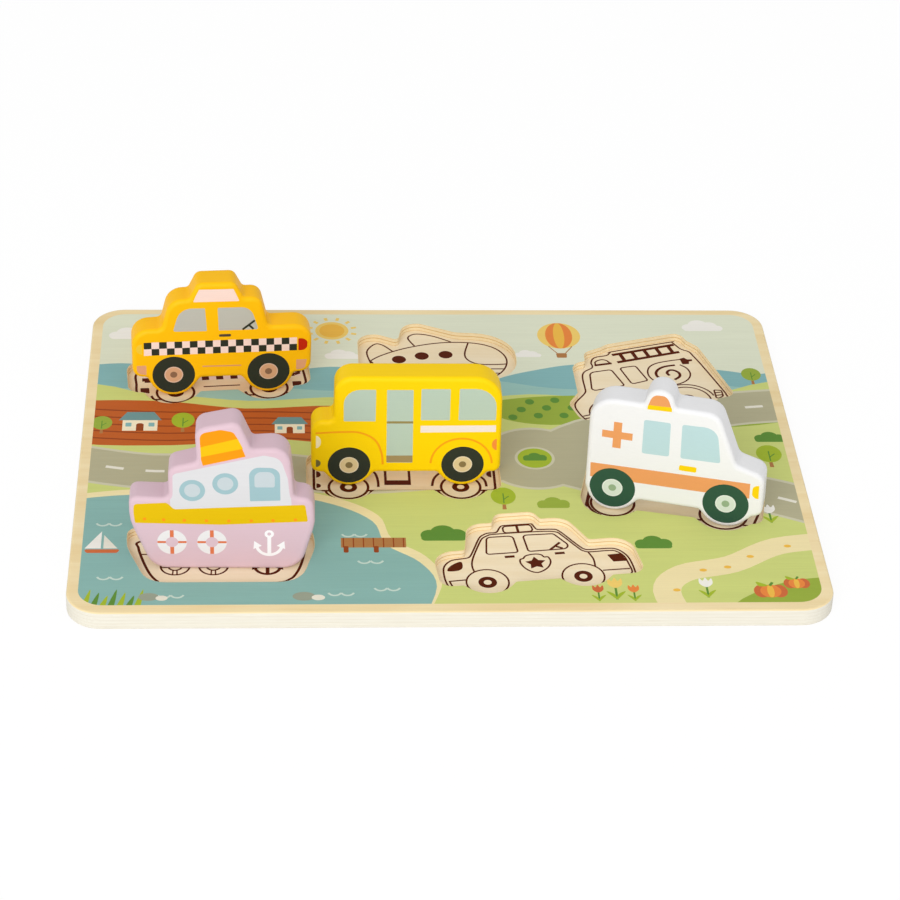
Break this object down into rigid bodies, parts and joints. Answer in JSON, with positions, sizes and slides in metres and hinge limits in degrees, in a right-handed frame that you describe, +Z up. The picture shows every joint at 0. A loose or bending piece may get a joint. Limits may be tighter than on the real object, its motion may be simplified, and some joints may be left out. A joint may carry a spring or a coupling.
{
  "type": "vehicle shape puzzle",
  "caption": "Flat wooden board with vehicle-shaped cut-outs and chunky loose vehicles that stand in them and lift out.",
  "frame": {"origin": "centre of the board's underside", "axes": "+X along the board's long side to the right, +Y to its back edge, +Z up out of the cut-outs"},
  "size_m": [0.3, 0.225, 0.0732],
  "materials": {
    "printed_plywood": "plywood with a matt printed top",
    "bare_plywood": "bare sanded plywood",
    "orange_paint": "satin paint on solid wood",
    "yellow_paint": "satin paint on solid wood",
    "lilac_paint": "satin paint on solid wood",
    "white_paint": "satin paint on solid wood"
  },
  "bodies": {
    "board": {"frame_panel": "printed_plywood", "backing_panel": "bare_plywood"},
    "taxi": {"taxi": "orange_paint"},
    "bus": {"bus": "yellow_paint"},
    "ship": {"ship": "lilac_paint"},
    "ambulance": {"ambulance": "white_paint"}
  },
  "joints": [
    {"name": "taxi_lift", "type": "slide", "parent": "board", "child": "taxi", "axis": [0, 0, 1], "range_m": [0, 0.06]},
    {"name": "bus_lift", "type": "slide", "parent": "board", "child": "bus", "axis": [0, 0, 1], "range_m": [0, 0.06]},
    {"name": "ship_lift", "type": "slide", "parent": "board", "child": "ship", "axis": [0, 0, 1], "range_m": [0, 0.06]},
    {"name": "ambulance_lift", "type": "slide", "parent": "board", "child": "ambulance", "axis": [0, 0, 1], "range_m": [0, 0.06]}
  ]
}
